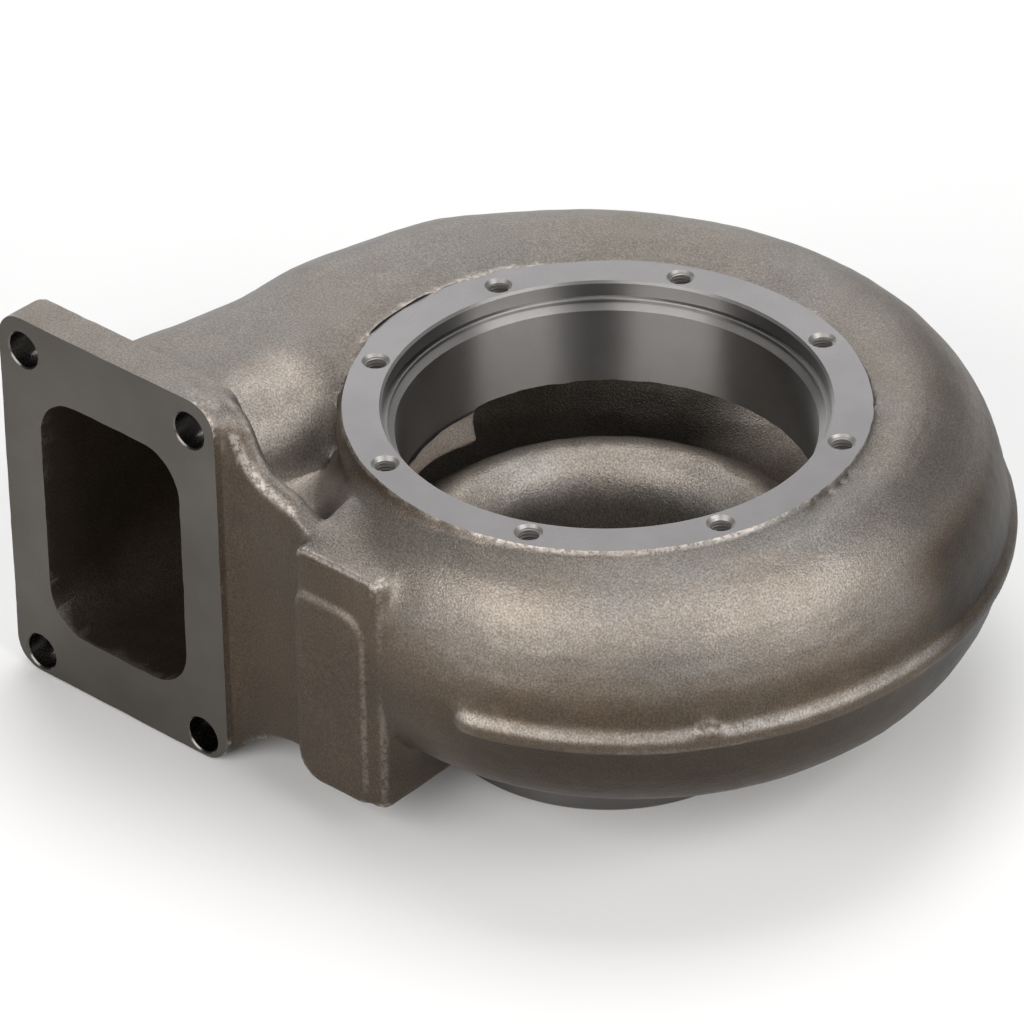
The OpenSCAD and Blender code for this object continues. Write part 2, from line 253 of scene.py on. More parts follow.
def ductStations(skin, startY):     # straight duct: outlines set up across -X
    t = np.linspace(0, 1, inlet["ductStations"])
    a, b = inletSection(skin), scrollSection(np.array([float(scroll["start"])]), skin)[0]
    flat = outline(mix(a[None, :], b[None, :], smooth(t)[:, None]))
    y = np.broadcast_to(mix(startY, inlet["ductEnd"], t)[:, None], flat.shape[:2])
    return np.stack([-flat[..., 0], y, flat[..., 1]], -1)


def aroundShaft(flat, angle):       # outlines (n, points, 2) set up at angles round the shaft
    c, s = np.cos(np.radians(angle))[:, None], np.sin(np.radians(angle))[:, None]
    return np.stack([flat[..., 0] * c, flat[..., 0] * s, flat[..., 1]], -1)


def roundStations(skin, start, end):
    angle = np.linspace(start, end, int(abs(start - end) / scroll["step"]) + 1)
    return aroundShaft(outline(scrollSection(angle, skin)), angle)


print("scroll and duct")
skinShells = [      # the duct's skin starts inside the flange, the core's in front of it
    loft(np.concatenate([ductStations(0, -inlet["reach"] + inlet["lap"]),
                         roundStations(0, scroll["start"], scroll["end"])])),
    loft(roundStations(0, scroll["tailStart"], scroll["tail"])),
]
coreShells = [
    loft(np.concatenate([ductStations(scroll["wall"], -inlet["reach"] - inlet["lap"]),
                         roundStations(scroll["wall"], scroll["start"], scroll["tail"])])),
]


# Parting bead: a bevelled rib that grows out of the scroll

bead = {
    "start": 172, "end": -75.5, "fade": 60, "out": 3, "face": 4, "endRound": 4, "stations": 125,
    "rootIn": 4, "rootUp": 7, "rootDown": 3, "edge": 0.4, "undercut": 0.3,      # its section's foot
}
angle = np.linspace(bead["start"], bead["end"], bead["stations"])
crest = quarterCurve(scroll["radii"], scroll["start"] - angle)
grow = bead["out"] * smooth((bead["start"] - angle) / bead["fade"])
endIn = np.clip((angle - bead["end"]) / bead["endRound"], 0, 1)
grow = grow * np.sqrt(1 - (1 - endIn) ** 2)
half = bead["face"] / 2
profile = [(-bead["rootIn"], half + bead["rootUp"]), (-bead["rootIn"], -half - bead["rootDown"]),
           (grow - bead["undercut"], -half - bead["edge"]), (grow, -half), (grow, half)]
rib = np.stack([np.stack([crest + out, np.full_like(crest, scroll["partingZ"] + level)], -1)
                for out, level in profile], 1)
skinShells.append(loft(aroundShaft(rib, angle)))

# stub of a feeder, broken off on the bead
stub = {"angle": -34, "radius": 119, "height": -50.5, "size": (2.4, 4.6, 2.8)}
a = np.radians(np.linspace(90, -90, 13))
ball = spun(np.stack([np.abs(np.cos(a)).round(9), np.sin(a)], -1), 32)
skinShells.append(placed(ball, Matrix.Rotation(radians(stub["angle"]), 4, "Z")
                         @ Matrix.Translation((stub["radius"], 0, stub["height"]))
                         @ Matrix.Diagonal((*stub["size"], 1))))


# Middle of the casting: bearing flange, neck and outlet ring

middleParts = {                     # radius and height, from the bearing face down
    "flange": [(0, 1.5), (86.5, 1.5), (86.5, -4), (89, -9), (82.5, -29.4), (74.5, -38)],
    "neck": [(67, -54), (73, -89), (65, -102)],
    "outletRing": [(59.5, -107.5), (59.5, -110), (60.3, -112), (60.3, -124.2), (0, -124.2)],
}
skinShells.append(spun(np.concatenate(list(middleParts.values()))))


# Inlet flange: plate with rounded corners

def roundedBox(w, h, radii, steps=8):   # corner radii counted from the upper right, anticlockwise
    points = []
    for corner, r in enumerate(radii):
        side = 1 if corner in (0, 3) else -1
        level = 1 if corner < 2 else -1
        a = np.radians(90 * (corner + np.arange(steps + 1) / steps))
        points.append(np.stack([side * (w / 2 - r) + r * np.cos(a),
                                level * (h / 2 - r) + r * np.sin(a)], -1))
    return np.concatenate(points)


plate = roundedBox(inlet["flangeW"], inlet["flangeH"], [inlet["flangeR"]] * 4)
plateY = np.array([-inlet["reach"] - inlet["allowance"], -inlet["reach"] + inlet["flangeT"]])
skinShells.append(loft(np.stack([
    np.stack([plate[:, 0] - inlet["offset"], np.full(len(plate), y),
              plate[:, 1] + scroll["partingZ"] + inlet["rise"]], -1) for y in plateY])))


# Corner block, its pad, and the wall with the swept lip

block = {
    "left": -38, "width": 36.5, "reach": -110, "topZ": -16.6, "footZ": -106,
    "ramp": 6, "rampEnd": -86.5, "back": -60,
    "edgeR": 2.2, "lowR": 9, "uprightR": 3.6, "topR": 1.0, "footR": 1.5,
    "padOut": 1.6, "padInset": 6.6, "padTopZ": -32.5, "padR": 9, "padCornerR": 4,
    "padBevel": 1.3, "padIn": (0.2, 4),
}
web = {
    "reach": -104, "thick": 7.0, "endX": -37, "floorZ": -28, "footZ": -103, "under": 0.6,
    "edge": [(-84, 11), (-77, 12.5), (-72.4, 10.5), (-69.4, 5), (-66.5, -0.7), (-63.6, -4.5),
             (-59.8, -7.9), (-55.5, -9.7), (-50.3, -11.2), (-45.6, -12.4), (-41.4, -13.6),
             (-37.4, -15.4), (-33, -18.4), (-29, -21.5)],
    "foot": [(-47.5, -102), (-53.4, -103.9), (-58, -105.7), (-62.6, -108.2), (-67.3, -111.2),
             (-70.6, -114.4), (-73.5, -117.4), (-75.9, -119.3), (-79.3, -121.6), (-91.2, -121.6)],
    "lipEnd": (-50, -35), "lipFall": 0.75,      # where the lip gets lower, and by which share
    "lip": [(0, 0), (0.5, 1.5), (1.4, 2.9), (2.7, 4.1), (4.2, 4.9), (5.7, 5.1), (7.0, 4.4),
            (7.9, 2.6), (8.3, 0), (8.3, -5), (0.4, -5)],      # distance back, height over its edge
    "fill": [(-95.2, -103), (-37, -103), (-19.75, -86.5), (-69.5, -34.75), (-95.2, -69.5)],
}


def frontPlate(outlineXZ, y):       # an outline in XZ repeated at the given distances
    x, z = outlineXZ.T
    return np.stack([np.stack([x, np.full(len(x), distance), z], -1) for distance in y])


blockRadii = [block["edgeR"], block["edgeR"], block["lowR"], block["edgeR"]]
rows = [(block["reach"] + block["uprightR"] * (1 - cos(t)), 1 - sin(t), 0)
        for t in np.linspace(0.25, pi / 2, 6)]
rows += [(block["rampEnd"], 0, block["ramp"]), (block["back"], 0, block["ramp"])]
stations = []
for y, inset, lift in rows:         # the edges of the front face are rounded by insets
    width, foot = block["width"] - inset * block["uprightR"], inset * block["footR"]
    height = block["topZ"] + lift - inset * block["topR"] - block["footZ"] - foot
    box = roundedBox(width, height, blockRadii)
    stations.append(np.stack([box[:, 0] + block["left"] + width / 2, np.full(len(box), y),
                              box[:, 1] + block["footZ"] + foot + height / 2], -1))
skinShells.append(loft(np.stack(stations)))

padW, padH = block["width"] - block["padInset"], block["padTopZ"] - block["footZ"]


def padOutline(inset):              # the face is smaller than the foot, which leaves a bevel
    width, height = padW - inset, padH - 1.6 * inset
    radii = [block["padR"], block["padCornerR"], block["lowR"], block["edgeR"]]
    flat = roundedBox(width, height, radii)
    return flat + [block["left"] + width / 2, block["footZ"] + 0.8 * inset + height / 2]


skinShells.append(loft(np.concatenate([
    frontPlate(padOutline(block["padBevel"]), (block["reach"] - block["padOut"],)),
    frontPlate(padOutline(0), [block["reach"] + into for into in block["padIn"]])])))

# wall between duct and block; its swept upper edge carries a rounded lip
edge = np.array(web["edge"], float)
along = np.linspace(0, len(edge) - 1, 97)
edge = np.stack([quarterCurve(edge[:, k], along * 90) for k in range(2)], -1)
keep = edge[:, 0] < web["endX"]
upper = edge[keep] - [0, web["under"]]
curtain = np.concatenate([upper, [[web["endX"], web["footZ"]]], web["foot"]])
skinShells.append(loft(frontPlate(curtain, (web["reach"], web["reach"] + web["thick"]))))
slope = np.stack([np.gradient(edge[:, 0]), np.gradient(edge[:, 1])], -1)
slope /= np.linalg.norm(slope, axis=1)[:, None]
lip = np.array(web["lip"], float)
fallStart, fallEnd = web["lipEnd"]
tall = 1 - web["lipFall"] * smooth((edge[:, 0] - fallStart) / (fallEnd - fallStart))
high = lip[None, :, 1] * tall[:, None]
skinShells.append(loft(np.stack([
    edge[:, 0, None] - slope[:, 1, None] * high,
    np.broadcast_to(web["reach"] + lip[None, :, 0], (len(edge), len(lip))),
    edge[:, 1, None] + slope[:, 0, None] * high], -1)))

# the solid between wall, duct, block and scroll, an outline seen from above
fill = np.array(web["fill"], float)
skinShells.append(loft(np.stack([
    np.column_stack([fill, np.full(len(fill), z)]) for z in (web["footZ"], web["floorZ"])])))


# Cast skin: the shells grow into one, hollows get a fillet, faces turn slightly wavy

casting = {
    "voxel": 0.95, "waxRounds": 110, "waxGain": 0.6, "relaxRounds": 2,
    "waves": 30, "waveSize": (16.0, 60.0), "waveDepth": 0.07,
    "dents": 40, "dentSize": (5.0, 12.0), "dentDepth": 0.035, "skinTriangles": 128000,
}


def remesh(obj, voxel):
    step = obj.modifiers.new("remesh", "REMESH")
    step.mode, step.voxel_size = "VOXEL", voxel * mm
    bake(obj)
    print("  ", obj.name, "remeshed:", len(obj.data.polygons), "quads")


def neighbours(mesh):
    edges = np.empty(len(mesh.edges) * 2, int)
    mesh.edges.foreach_get("vertices", edges)
    edges = edges.reshape(-1, 2)
    a, b = np.concatenate([edges[:, 0], edges[:, 1]]), np.concatenate([edges[:, 1], edges[:, 0]])
    return a, b, np.bincount(a, minlength=len(mesh.vertices))


def pull(points, links):            # from each point to the middle of its neighbours
    a, b, degree = links
    total = np.stack([np.bincount(a, points[b, k], len(points)) for k in range(3)], -1)
    return total / degree[:, None] - points


def vertexNormals(points, quads):
    corner = [points[quads[:, c]] for c in range(4)]
    face = np.cross(corner[2] - corner[0], corner[3] - corner[1])
    n = np.stack([sum(np.bincount(quads[:, c], face[:, k], len(points)) for c in range(4))
                  for k in range(3)], -1)
    return n / np.maximum(np.linalg.norm(n, axis=1), 1e-12)[:, None]


def castFinish(obj, limit, rounds, gain, relaxRounds):
    # fillets as if of wax: points in hollows move out along their normal, up to limit(points)
    mesh = obj.data
    quads = np.empty(len(mesh.polygons) * 4, int)
    mesh.polygons.foreach_get("vertices", quads)
    quads = quads.reshape(-1, 4)
    links, points = neighbours(mesh), readPoints(mesh)
    room = limit(points)
    filled = np.zeros(len(points))
    for k in range(rounds):
        if k % 3 == 0:
            normals = vertexNormals(points, quads)
        depth = np.einsum("ij,ij->i", pull(points, links), normals)
        add = np.minimum(np.clip(depth, 0, None) * gain, room - filled)
        filled += add
        points += normals * add[:, None]
    for k in range(relaxRounds):
        points += pull(points, links) * 0.5
    writePoints(mesh, points)
    return quads


def waviness(points, seed, sizes, depth, count):   # sum of sine waves in random directions
    rng = np.random.default_rng(seed)
    total = np.zeros(len(points))
    for k in range(count):
        direction = rng.normal(size=3)
        direction *= 2 * pi / rng.uniform(*sizes) / np.linalg.norm(direction)
        total += np.sin(points @ direction + rng.uniform(0, 2 * pi))
    return total * depth / sqrt(count / 2)


def near(value, middle, reach):     # 1 inside a band, falling to 0 at twice its reach
    return 1 - smooth(np.abs(value - middle) / reach - 1)


filletDepth = {                     # how deep a fillet may fill a hollow, in mm
    "anywhere": 0.55, "flangeBack": 3.4, "flangeSide": 2.4, "behindLip": 9.5,
    "blockSideHigh": 1.4, "blockSideLow": 4.2, "bearingFoot": 2.0, "neck": 3.5, "blockFace": 0.25,
}


def skinRoom(p):                    # the depth at each place: the largest that reaches it
    x, y, z = p.T
    r, d = np.hypot(x, y), filletDepth
    places = [
        d["flangeBack"] * near(y, -88, 6) * (x < -55),
        d["flangeSide"] * near(x, -71, 4) * near(y, -104, 4),
        d["behindLip"] * near(x, -64, 26) * near(y, -76, 22) * (z > -52) * (z < -12) * (y > -95),
        mix(d["blockSideHigh"], d["blockSideLow"], smooth((-28 - z) / 18))
        * (near(x, 4, 7) * near(y, -96, 12) * (z < -9)),
        d["bearingFoot"] * near(r, 92, 7) * near(z, -6, 9),
        d["neck"] * near(r, 72, 14) * near(z, -100, 14),
    ]
    room = np.full(len(p), d["anywhere"])
    for place in places:
        room = np.maximum(room, place)
    room[(x > -42) & (x < -3) & (y < -108.4)] = d["blockFace"]
    return room


print("cast skin")
housing = makeObject("housing", skinShells)
remesh(housing, casting["voxel"])
quads = castFinish(housing, skinRoom, casting["waxRounds"], casting["waxGain"],
                   casting["relaxRounds"])
points = readPoints(housing.data)
normals = vertexNormals(points, quads)
waves = waviness(points, 11, casting["waveSize"], casting["waveDepth"], casting["waves"])
dents = waviness(points, 12, casting["dentSize"], casting["dentDepth"], casting["dents"])
points += normals * (waves + dents)[:, None]
writePoints(housing.data, points)


def thin(obj, target):
    step = obj.modifiers.new("thin", "DECIMATE")
    step.ratio = min(1, target / (2 * len(obj.data.polygons)))
    bake(obj)
    print("  ", obj.name, "thinned:", len(obj.data.polygons), "faces")


thin(housing, casting["skinTriangles"])


# Sand core: what the casting is hollow with

chamber = {
    "boreR": 69.5, "boreZ": -38, "shroudR": 62.5, "shroudZ": -54.5, "exitR": 46, "drop": 24,
    "tongue": 170, "tail": -150, "recessR": 71.5, "slotR": 85.5,
    "slotTop": (-52.0, -45.5), "slotStart": 170, "slotRun": 38, "slotEnd": 212,
    "voxel": 1.7, "triangles": 34000, "fillet": 1.2, "waxRounds": 14, "waxGain": 0.5,
    "relaxRounds": 2, "waves": 24, "waveSize": (5.0, 14.0), "waveDepth": 0.1,
}
a = np.radians(np.linspace(0, 90, 13))
dish = np.stack([chamber["shroudR"] - (chamber["shroudR"] - chamber["exitR"]) * np.sin(a),
                 chamber["shroudZ"] - chamber["drop"] * (1 - np.cos(a))], -1)
coreShells.append(spun(np.vstack([
    [(0, 6), (66.5, 6), (66.5, -32), (68.6, -38), (67.6, -44), (66.8, -49), (67.6, -52),
     (chamber["recessR"], -53.5), (chamber["recessR"], -60.5), (66, -57)],
    dish[:-1], [(44.6, -78), (44.6, -98), (50, -116), (50, -130), (0, -130)]])))
coreShells.append(turned([
    (62, -38.2), (chamber["slotR"], -38.2), (chamber["slotR"], -54.5), (77.5, -57.5), (77.5, -69.5),
    (70, -57.5), (62, -54)], chamber["tail"], chamber["tongue"] - chamber["tail"]))

# tail slot under the tongue's foot; its upper side climbs on the way round
angle = np.linspace(chamber["tongue"] + 1, chamber["slotEnd"], 18)
upperZ = mix(*chamber["slotTop"], (angle - chamber["slotStart"]) / chamber["slotRun"])
corners = [(60, upperZ), (chamber["recessR"], upperZ), (chamber["recessR"], -60.5), (60, -53)]
slot = np.stack([np.stack([np.full_like(angle, r), np.broadcast_to(z, angle.shape)], -1)
                 for r, z in corners], 1)
coreShells.append(loft(aroundShaft(slot, angle)))

print("sand core")
sandCore = makeObject("sandCore", coreShells)
remesh(sandCore, chamber["voxel"])
quads = castFinish(sandCore, lambda p: np.full(len(p), chamber["fillet"]), chamber["waxRounds"],
                   chamber["waxGain"], chamber["relaxRounds"])
points = readPoints(sandCore.data)
normals = vertexNormals(points, quads)
waves = waviness(points, 5, chamber["waveSize"], chamber["waveDepth"], chamber["waves"])
points += normals * waves[:, None]
writePoints(sandCore.data, points)
thin(sandCore, chamber["triangles"])
carve(housing, sandCore)


# Machining: turned, drilled, tapped and milled faces

bearing = {
    "facingR": 88.75, "registerR": 73.5, "registerZ": -5.5, "landR": 71.5, "landZ": -7,
    "edge": 0.8, "landEdge": 0.35, "landDrop": 2,
    "holes": 8, "pcr": 80, "drillR": 3.4, "sinkR": 4.7, "depth": 22,
    "threadR": 4.0, "pitch": 1.25, "threadDepth": 16, "perTurn": 24, "startTurn": 2.1,
}
b = bearing
print("turning")
carve(housing, makeObject("facing", [spun([
    (0, 30), (b["facingR"], 30), (b["facingR"], 0), (0, 0)], 256)], "facedIron"))
carve(housing, makeObject("boring", [spun([
    (0, 30), (b["registerR"] + b["edge"], 30), (b["registerR"] + b["edge"], 0),
    (b["registerR"], -b["edge"]), (b["registerR"], b["registerZ"]),
    (b["landR"] + b["landEdge"], b["registerZ"]), (b["landR"], b["registerZ"] - b["landEdge"]),
    (b["landR"], b["landZ"]), (chamber["boreR"], b["landZ"] - b["landDrop"]),
    (chamber["boreR"], chamber["boreZ"]), (60, chamber["boreZ"]), (40, -44), (40, -80),
    (chamber["exitR"], -84), (chamber["exitR"], -97), (44, -99), (44, -115), (51, -117),
    (51, -122.5), (51.5, -123), (51.5, -140), (0, -140)], 256)], "boredIron"))
carve(housing, makeObject("outletTurning", [turned([
    (59, -111), (59, -122), (58, -123), (45, -123), (45, -150), (90, -150), (90, -111)],
    step=1.875)], "outletIron"))

print("milling")
slab = np.array([(-220, -140), (-60, -140), (-60, 40), (-220, 40)], float)
carve(housing, makeObject(
    "flangeMilling", [loft(frontPlate(slab, (-140, -inlet["reach"])))], "milledIron"))


def drill(radius, depth, sinkRadius, top=4, segments=48):
    # a countersunk hole down -Z, with a point of 120 degrees
    slope = sinkRadius - radius
    return spun([(0, top), (sinkRadius + top, top), (radius, -slope), (radius, -depth),
                 (0, -depth - radius * 0.58)], segments)


def thread(radius, core, pitch, depth, perTurn, above=0.8):
    # a groove's section carried down a helix: a narrow floor and flanks at 30 degrees
    a = np.arange(int((depth + above) / pitch * perTurn) + 1) * 2 * pi / perTurn
    floor, inner = 0.08, core - 0.2
    half = floor + (radius - inner) * 0.577
    section = [(inner, half), (inner, -half), (radius, -floor), (radius, floor)]
    rows = np.stack([np.stack([r * np.cos(a), r * np.sin(a), above - a / (2 * pi) * pitch + dz], -1)
                     for r, dz in section], 1)
    return loft(rows)


def tapPlace(k):                    # the middle of hole number k in the bearing face
    turn = 2 * pi * (k + 0.5) / b["holes"]
    return Matrix.Rotation(turn, 4, "Z") @ Matrix.Translation((b["pcr"], 0, 0))


print("drilling")
tap = drill(b["drillR"], b["depth"], b["sinkR"])
cutters = [placed(tap, tapPlace(k)) for k in range(b["holes"])]
carve(housing, makeObject("tapDrilling", cutters, "drilledIron"))
groove = thread(b["threadR"], b["drillR"], b["pitch"], b["threadDepth"], b["perTurn"])
cutters = [placed(groove, tapPlace(k) @ Matrix.Rotation(b["startTurn"] * k, 4, "Z"))
           for k in range(b["holes"])]
carve(housing, makeObject("tapping", cutters, "drilledIron"))
bolt = drill(inlet["holeR"], inlet["holeDepth"], inlet["holeR"] + inlet["holeEdge"], segments=64)
cutters = []
for x in (-1, 1):
    for z in (-1, 1):
        matrix = Matrix.Translation((-inlet["offset"] + x * inlet["boltsW"] / 2, -inlet["reach"],
                                     scroll["partingZ"] + z * inlet["boltsH"] / 2))
        cutters.append(placed(bolt, matrix @ Matrix.Rotation(radians(90), 4, "X")))
carve(housing, makeObject("flangeDrilling", cutters, "boltIron"))


# Finish: exact turned faces, worn edges with painted highlights, painted shade in hollows and on
# sides, painted light and shade by place

paintedLightAndShadeShare = {     # painted light and shade, as shares of the skin's colour: by facing first, then by place
    "side": 0.33, "sideRise": 0.6,      # painted shade on upright and hanging faces, and the rise at which it's full
    "right": 0.27, "front": 1.5, "low": 0.61, "bead": 2.2, "valley": 2.0, "duct": 0.35,
    "tongue": 3.0, "wall": (0.8, 4.6), "dish": (0.8, 2.6),      # two of them change on their way
}


def paintedLightAndShade(points, normals):
    # painted light and shade at each point, from the height of its normal and from where it lies
    x, y, z = points.T
    r, turn = np.hypot(x, y), np.degrees(np.arctan2(y, x))
    level, rise = z - scroll["partingZ"], normals[:, 2]
    radial = (normals[:, 0] * x + normals[:, 1] * y) / np.maximum(r, 1)
    proud = r - quarterCurve(scroll["radii"], scroll["start"] - turn)      # over the scroll's edge
    k = paintedLightAndShadeShare

    # the outer skin, by soft zones: painted shade on the sides, the right and low down, painted
    # light on the front, the bead and the valley
    tone = mix(k["side"], 1, smooth(rise / k["sideRise"]))
    right = smooth((turn - 2) / 14) * smooth((120 - turn) / 30) * smooth((-14 - z) / 12) * (r > 95)
    front = smooth((x - y - 70) / 60) * smooth((r - 92) / 8) * smooth((z + 56) / 20)
    low = smooth((x - 15) / 30) * smooth((-34 - z) / 10) * (r > 95)
    onBead = smooth((proud - 0.7) / 0.8) * (np.abs(level) < 5) * (turn < 90) * (turn > -75)
    valley = near(x, -76, 16) * near(y, -65, 12) * smooth((r - 89) / 4) * (z > -48) * (y > -96)
    for share, zone in (("right", right), ("front", front), ("low", low), ("bead", onBead),
                        ("valley", valley)):
        tone = tone * mix(1, k[share], zone)

    # the gas path's walls face the middle of its section, the outer skin faces away from it
    scrollX = (scroll["radii"][0] + scroll["skinInner"]) / 2
    ductX = -mix(inlet["offset"], scrollX, smooth((y + inlet["reach"]) / 94))
    ductWall = (x - ductX) * normals[:, 0] + level * rise < 0
    inDuct = (y < -20) & (y > -107.5) & (x < -85) & (np.abs(level) < 50)
    # painted shade inside the duct; painted light on the tongue, the gas path's walls and the dish
    tone = np.where(ductWall & inDuct, k["duct"], tone)
    inTongue = (r < 90) & (z < -36) & (z > -56) & (radial < 0.1) & (rise < 0.6)
    tone = np.where(inTongue, k["tongue"], tone)
    middleR = (r - proud + scroll["skinInner"]) / 2
    pathWall = (r - middleR) * radial + level * rise < 0
    gasPath = smooth((r - 84) / 8) * pathWall * (proud < -4) * (y > 0) * (z < -36) * (z > -100)
    tone = mix(tone, mix(*k["wall"], smooth((x + 58) / 32)), gasPath)
    inDish = (r < 72) & (z < -44) & (rise > 0.1)
    return np.where(inDish, mix(*k["dish"], smooth((z + 74) / 16)), tone)


def ringEdge(radius, z, start, end, step):      # points on a circle round the shaft
    turns = [radians(a) for a in range(start, end, step)]
    return [(radius * cos(a), radius * sin(a), z) for a in turns]


rubbedAndHighlit = {      # lines of rubbed metal and painted highlight: points, reach, share
    "lip": ([(x, web["reach"] + 1, z + 3) for x, z in web["edge"][3:10]], 2.6, 0.75),
    "blockEdge": ([(-38, -109, -17.2), (-3, -109.6, -17.2)], 1.5, 1.0),
    "blockCorner": ([(-4, -109.5, -18), (-2, -106, -16)], 2.6, 1.0),
    "flangeCorner": ([(-88, -104, 16), (-80, -103, 15), (-75.5, -103, 10.5), (-74.5, -103, 3)],
                     4.0, 0.8),
    "blockUpright": ([(-2.2, -108.8, -20), (-2.2, -108.8, -100)], 1.8, 0.22),
    "padUpright": ([(-8.6, -111.2, -42), (-8.6, -111.2, -100)], 1.4, 0.2),
    "ringEdge": (ringEdge(89.2, -0.6, 75, 196, 5), 1.5, 1.0),
}


def rubsAndHighlights(points):
    # share of rubbing and painted highlight at each point: full on the line, none at its reach
    total = np.zeros(len(points))
    for line, reach, share in rubbedAndHighlit.values():
        line = np.array(line, float)
        length = np.linalg.norm(np.diff(line, axis=0), axis=1).sum()
        t = np.linspace(0, len(line) - 1, int(length) + 2)
        line = np.stack([np.interp(t, np.arange(len(line)), line[:, k]) for k in range(3)], -1)
        spot = np.all((points > line.min(0) - reach) & (points < line.max(0) + reach), axis=1)
        away = np.linalg.norm(points[spot][:, None, :] - line[None, :, :], axis=2).min(1)
        total[spot] = np.maximum(total[spot], share * smooth(1.6 * (1 - away / reach)))
    return total


finishing = {
    "sharpAngle": 35, "shortest": 0.2, "bendRounds": 5, "wideRounds": 24,
    "wearAndHighlightFrom": 0.045, "wearAndHighlightOver": 0.13, "hollowOver": 0.09,      # curvatures, one over mm
}


def finish(obj):
    mesh = obj.data
    count = len(mesh.polygons)
    index = np.empty(count, np.int32)
    mesh.polygons.foreach_get("material_index", index)
    print("  faces of each kind:", {name: int((index == k).sum()) for name, k in kinds.items()})
    mesh.polygons.foreach_set("use_smooth", np.ones(count, bool))
    mesh.set_sharp_from_angle(angle=radians(finishing["sharpAngle"]))

    # sharp wherever two kinds of surface meet
    start, total = np.empty(count, int), np.empty(count, int)
    mesh.polygons.foreach_get("loop_start", start)
    mesh.polygons.foreach_get("loop_total", total)
    faceOf = np.repeat(np.arange(count), total)
    loopEdge, loopVertex = np.empty(len(mesh.loops), int), np.empty(len(mesh.loops), int)
    mesh.loops.foreach_get("edge_index", loopEdge)
    mesh.loops.foreach_get("vertex_index", loopVertex)
    low = np.full(len(mesh.edges), 99)
    high = np.full(len(mesh.edges), -1)
    np.minimum.at(low, loopEdge, index[faceOf])
    np.maximum.at(high, loopEdge, index[faceOf])
    sharp = np.empty(len(mesh.edges), bool)
    mesh.attributes["sharp_edge"].data.foreach_get("value", sharp)
    mesh.attributes["sharp_edge"].data.foreach_set("value", sharp | (low != high))

    # curvature: how far a point stands out of its neighbours' middle, over their distance squared
    links, points = neighbours(mesh), readPoints(mesh)
    normals = np.empty(len(points) * 3)
    mesh.vertex_normals.foreach_get("vector", normals)
    normals = normals.reshape(-1, 3)
    a, b, degree = links
    length = np.bincount(a, np.linalg.norm(points[a] - points[b], axis=1), len(points)) / degree
    bend = -np.einsum("ij,ij->i", pull(points, links), normals)
    bend = bend / np.maximum(length, finishing["shortest"]) ** 2
    for k in range(finishing["bendRounds"]):
        bend = 0.5 * bend + 0.5 * np.bincount(a, bend[b], len(points)) / degree
    wide = bend.copy()
    for k in range(finishing["wideRounds"]):
        wide = 0.4 * wide + 0.6 * np.bincount(a, wide[b], len(points)) / degree
    # convex edges lighter: worn metal and painted highlight
    wornAndHighlit = smooth((bend - finishing["wearAndHighlightFrom"]) / finishing["wearAndHighlightOver"])
    wearAndHighlight = np.maximum(wornAndHighlit, rubsAndHighlights(points))
    # painted shade in hollows, from how concave the surface is around each point
    hollow = smooth(-wide / finishing["hollowOver"])
    # tone is painted light and shade, by facing and by place
    for name, values in (("wearAndHighlight", wearAndHighlight), ("hollow", hollow), ("tone", paintedLightAndShade(points, normals))):
        layer = mesh.attributes.new(name, "FLOAT", "POINT")
        layer.data.foreach_set("value", values.astype(np.float32))

    # turned walls: exact normals, so that the polished bore shows no facets
    loopNormals = np.empty(len(mesh.loops) * 3)
    mesh.corner_normals.foreach_get("vector", loopNormals)
    loopNormals = loopNormals.reshape(-1, 3)
    faceNormals = np.empty(count * 3)
    mesh.polygons.foreach_get("normal", faceNormals)
    faceNormals = faceNormals.reshape(-1, 3)[faceOf]
    corner = points[loopVertex]
    radius = np.maximum(np.hypot(corner[:, 0], corner[:, 1]), 1e-6)
    turnedFace = np.isin(index[faceOf], [kinds["boredIron"], kinds["outletIron"]])
    radial = np.einsum("ij,ij->i", faceNormals[:, :2], corner[:, :2]) / radius
    exact = np.stack([radial * corner[:, 0] / radius, radial * corner[:, 1] / radius,
                      faceNormals[:, 2]], -1)
    exact /= np.maximum(np.linalg.norm(exact, axis=1), 1e-6)[:, None]
    flat = np.isin(index[faceOf], [kinds["facedIron"], kinds["milledIron"]])
    loopNormals = np.where(turnedFace[:, None], exact, loopNormals)
    loopNormals = np.where(flat[:, None], faceNormals, loopNormals)
    mesh.normals_split_custom_set(loopNormals.tolist())


print("finish")
finish(housing)
print("  triangles", sum(len(face.vertices) - 2 for face in housing.data.polygons))
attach(housing, "root")
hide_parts("turbine_housing")


# Materials

def shader(material, metallic=0.0):     # a material's nodes, links and surface
    material.use_nodes = True
    nodes, links = material.node_tree.nodes, material.node_tree.links
    surface = nodes["Principled BSDF"]
    surface.inputs["Metallic"].default_value = metallic
    return nodes, links, surface


def noise(nodes, links, place, scale, detail, rough):
    made = nodes.new("ShaderNodeTexNoise")
    made.inputs["Scale"].default_value = scale
    made.inputs["Detail"].default_value = detail
    made.inputs["Roughness"].default_value = rough
    links.new(place, made.inputs["Vector"])
    return made.outputs["Fac"]


def ramp(nodes, links, value, stops):
    made = nodes.new("ShaderNodeValToRGB")
    elements = made.color_ramp.elements
    while len(elements) < len(stops):
        elements.new(0.5)
    for element, (where, colour) in zip(elements, stops):
        element.position = where
        element.color = (*colour, 1)
    links.new(value, made.inputs["Fac"])
    return made.outputs["Color"]


def grey(v):
    return (v, v, v)


def math(nodes, links, how, a, b):
    made = nodes.new("ShaderNodeMath")
    made.operation = how
    for k, value in enumerate((a, b)):
        if isinstance(value, (int, float)):
            made.inputs[k].default_value = value
        else:
            links.new(value, made.inputs[k])
    return made.outputs["Value"]


